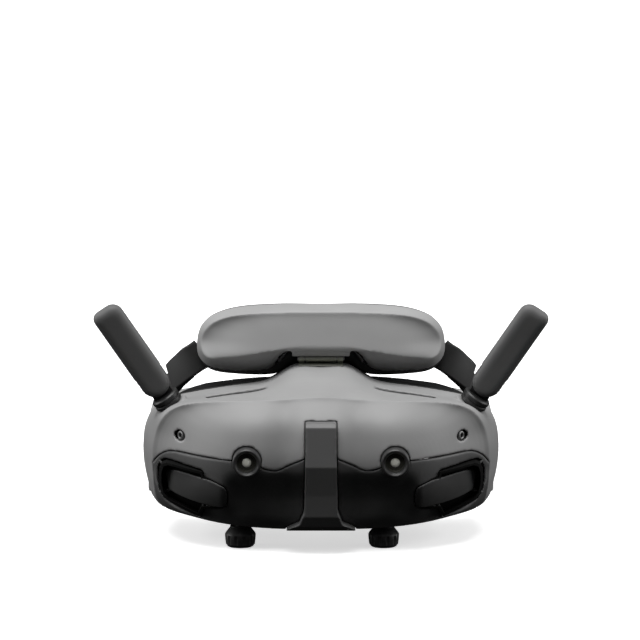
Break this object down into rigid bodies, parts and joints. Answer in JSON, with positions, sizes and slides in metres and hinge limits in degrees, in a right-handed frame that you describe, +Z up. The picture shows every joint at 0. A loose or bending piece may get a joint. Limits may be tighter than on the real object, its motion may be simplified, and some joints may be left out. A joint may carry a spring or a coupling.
{
  "type": "fpv goggles",
  "caption": "Video goggles for flying models: faceted two-tone housing, fold-out blade antennas, focus knobs, face foam and a hinged forehead headband with a rear battery unit.",
  "frame": {"origin": "middle of the bounding box, on the surface the goggles stand on", "axes": "+Y runs from the front of the housing back to the rear unit, +X is to the right seen from the front, +Z is up"},
  "size_m": [0.204, 0.3076, 0.1091],
  "materials": {
    "grey_shell": "soft matte moulded plastic",
    "dark_shell": "satin moulded plastic",
    "centre_bar": "satin moulded plastic",
    "black_plastic": "fine grained plastic",
    "knob_plastic": "grooved satin plastic",
    "antenna_plastic": "fine spark-eroded texture",
    "arm_plastic": "smooth flexible plastic",
    "face_foam": "soft foam with a closed skin",
    "cushion": "knitted cover over foam",
    "band_rubber": "smooth matte rubber",
    "lens_glass": "coated optical glass",
    "steel": "satin",
    "aluminium": "bare extruded",
    "circuit_board": "solder mask",
    "battery_wrap": "shrink sleeve"
  },
  "bodies": {
    "front_unit": {"front_shell_upper": "grey_shell", "front_shell_lower": "dark_shell", "nose_bar": "centre_bar", "rear_frame": "black_plastic", "face_foam": "face_foam", "main_board": "circuit_board", "heat_sink": "aluminium", "fan_frame": "black_plastic", "slide_rod_upper": "steel", "slide_rod_lower": "steel", "hinge_base": "steel", "hinge_pin": "steel", "camera_bezel_left": "black_plastic", "camera_lens_left": "lens_glass", "camera_module_left": "black_plastic", "housing_screw_left": "steel", "intake_plate_left": "dark_shell", "intake_duct_left": "black_plastic", "top_vent_grille_left": "black_plastic", "antenna_socket_left": "black_plastic", "antenna_pin_left": "steel", "camera_bezel_right": "black_plastic", "camera_lens_right": "lens_glass", "camera_module_right": "black_plastic", "housing_screw_right": "steel", "intake_plate_right": "dark_shell", "intake_duct_right": "black_plastic", "top_vent_grille_right": "black_plastic", "antenna_socket_right": "black_plastic", "antenna_pin_right": "steel"},
    "fan": {"fan_rotor": "black_plastic"},
    "antenna_left": {"antenna_blade_left": "antenna_plastic"},
    "eyepiece_left": {"eyepiece_barrel_left": "black_plastic", "display_left": "lens_glass"},
    "lens_left": {"lens_cell_left": "black_plastic", "eye_lens_left": "lens_glass"},
    "knob_left": {"focus_knob_left": "knob_plastic"},
    "antenna_right": {"antenna_blade_right": "antenna_plastic"},
    "eyepiece_right": {"eyepiece_barrel_right": "black_plastic", "display_right": "lens_glass"},
    "lens_right": {"lens_cell_right": "black_plastic", "eye_lens_right": "lens_glass"},
    "knob_right": {"focus_knob_right": "knob_plastic"},
    "headband": {"forehead_shell": "grey_shell", "forehead_back": "black_plastic", "forehead_cushion": "cushion", "hinge_leaf": "steel", "band_link_left": "band_rubber", "side_arm_left": "arm_plastic", "band_link_right": "band_rubber", "side_arm_right": "arm_plastic"},
    "rear_unit": {"rear_shell": "grey_shell", "rear_cover": "black_plastic", "rear_cushion": "cushion", "battery_board": "circuit_board", "battery_cell_left": "battery_wrap", "battery_cell_right": "battery_wrap"},
    "fit_knob": {"adjust_knob": "black_plastic"},
    "power_key": {"power_button": "black_plastic"},
    "link_key": {"link_button": "black_plastic"}
  },
  "joints": [
    {"name": "antenna_fold_left", "type": "hinge", "parent": "front_unit", "child": "antenna_left", "pos_m": [-0.0745, -0.10485, 0.072], "axis": [0.0956, -0.9848, -0.145], "range_deg": [-25, 90]},
    {"name": "ipd_slide_left", "type": "slide", "parent": "front_unit", "child": "eyepiece_left", "axis": [1, 0, 0], "range_m": [0, 0.008]},
    {"name": "focus_slide_left", "type": "slide", "parent": "eyepiece_left", "child": "lens_left", "axis": [0, 1, 0], "range_m": [-0.0034, 0.0012]},
    {"name": "focus_knob_left_turn", "type": "hinge", "parent": "eyepiece_left", "child": "knob_left", "pos_m": [-0.036, -0.11885, 0.004], "axis": [0, 0, 1], "range_deg": [-90, 32]},
    {"name": "antenna_fold_right", "type": "hinge", "parent": "front_unit", "child": "antenna_right", "pos_m": [0.0745, -0.10485, 0.072], "axis": [0.0956, 0.9848, 0.145], "range_deg": [-25, 90]},
    {"name": "ipd_slide_right", "type": "slide", "parent": "front_unit", "child": "eyepiece_right", "axis": [1, 0, 0], "range_m": [0, 0.008]},
    {"name": "focus_slide_right", "type": "slide", "parent": "eyepiece_right", "child": "lens_right", "axis": [0, 1, 0], "range_m": [-0.0034, 0.0012]},
    {"name": "focus_knob_right_turn", "type": "hinge", "parent": "eyepiece_right", "child": "knob_right", "pos_m": [0.028, -0.11885, 0.004], "axis": [0, 0, 1], "range_deg": [-90, 32]},
    {"name": "headband_tilt", "type": "hinge", "parent": "front_unit", "child": "headband", "pos_m": [0, -0.08435, 0.0796], "axis": [1, 0, 0], "range_deg": [0, 20]},
    {"name": "rear_slide", "type": "slide", "parent": "headband", "child": "rear_unit", "axis": [0, 1, 0], "range_m": [0, 0.025]},
    {"name": "fit_knob_turn", "type": "hinge", "parent": "rear_unit", "child": "fit_knob", "pos_m": [0, 0.14915, 0.018], "axis": [0, 1, 0], "range_deg": [0, 240]},
    {"name": "power_button_press", "type": "slide", "parent": "rear_unit", "child": "power_key", "axis": [0, 0, -1], "range_m": [0, 0.001], "stiffness_N_per_m": 1500, "springref_m": -0.0005},
    {"name": "link_button_press", "type": "slide", "parent": "rear_unit", "child": "link_key", "axis": [0, 0, -1], "range_m": [0, 0.001], "stiffness_N_per_m": 1500, "springref_m": -0.0005},
    {"name": "fan_spin", "type": "hinge", "parent": "front_unit", "child": "fan", "pos_m": [0, -0.12685, 0.037], "axis": [0, 1, 0], "continuous": true}
  ],
  "couplings": [
    {"joint": "focus_knob_left_turn", "follows": "focus_slide_left", "rad_per_m": 454.55},
    {"joint": "focus_knob_right_turn", "follows": "focus_slide_right", "rad_per_m": 454.55},
    {"joint": "fit_knob_turn", "follows": "rear_slide", "rad_per_m": 166.67}
  ]
}
